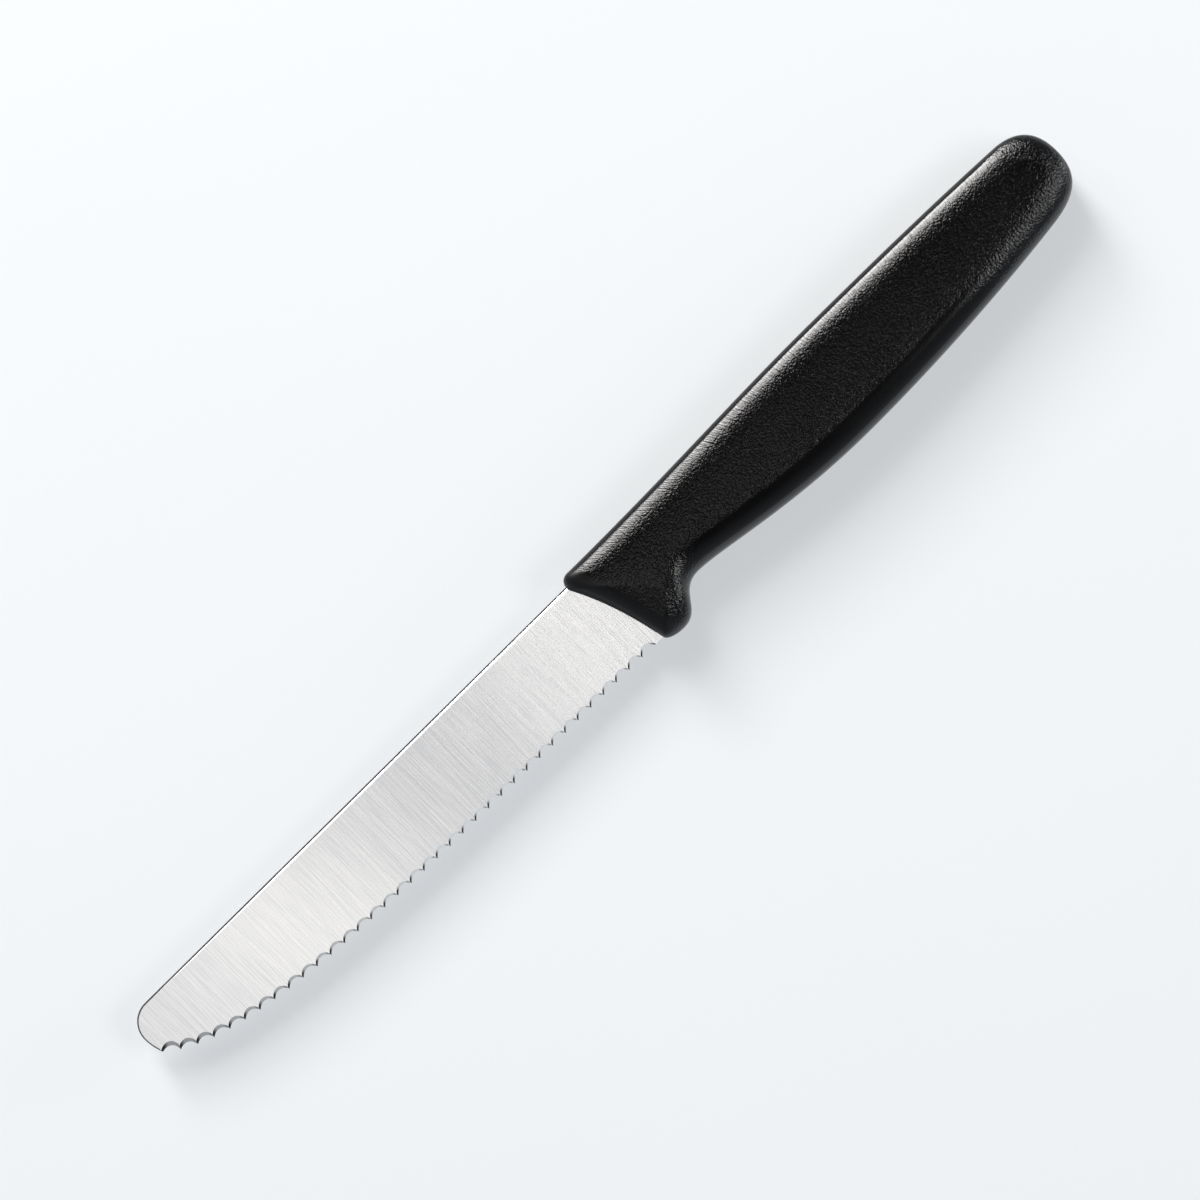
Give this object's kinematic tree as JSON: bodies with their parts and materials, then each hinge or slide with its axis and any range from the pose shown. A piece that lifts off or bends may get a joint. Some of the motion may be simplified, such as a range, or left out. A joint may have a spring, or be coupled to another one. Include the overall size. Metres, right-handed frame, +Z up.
{
  "type": "serrated kitchen knife",
  "caption": "Small kitchen knife with a round-tipped, thin brushed steel blade, a wavy toothed edge and a black moulded handle with a finger guard, for slicing fruit and vegetables.",
  "frame": {"origin": "on the surface that the knife lies on, under the middle of its box", "axes": "+X from the tip to the butt, +Y from the cutting edge to the spine, +Z up through the knife's thickness"},
  "size_m": [0.215, 0.0218, 0.012],
  "materials": {
    "steel": "fine brushing across the blade, bright rounded spine, ground scallops",
    "plastic": "black moulded plastic with a fine leather-like grain, smoother on the rolled edges"
  },
  "bodies": {
    "root": {"blade": "steel", "handle": "plastic"}
  },
  "joints": []
}
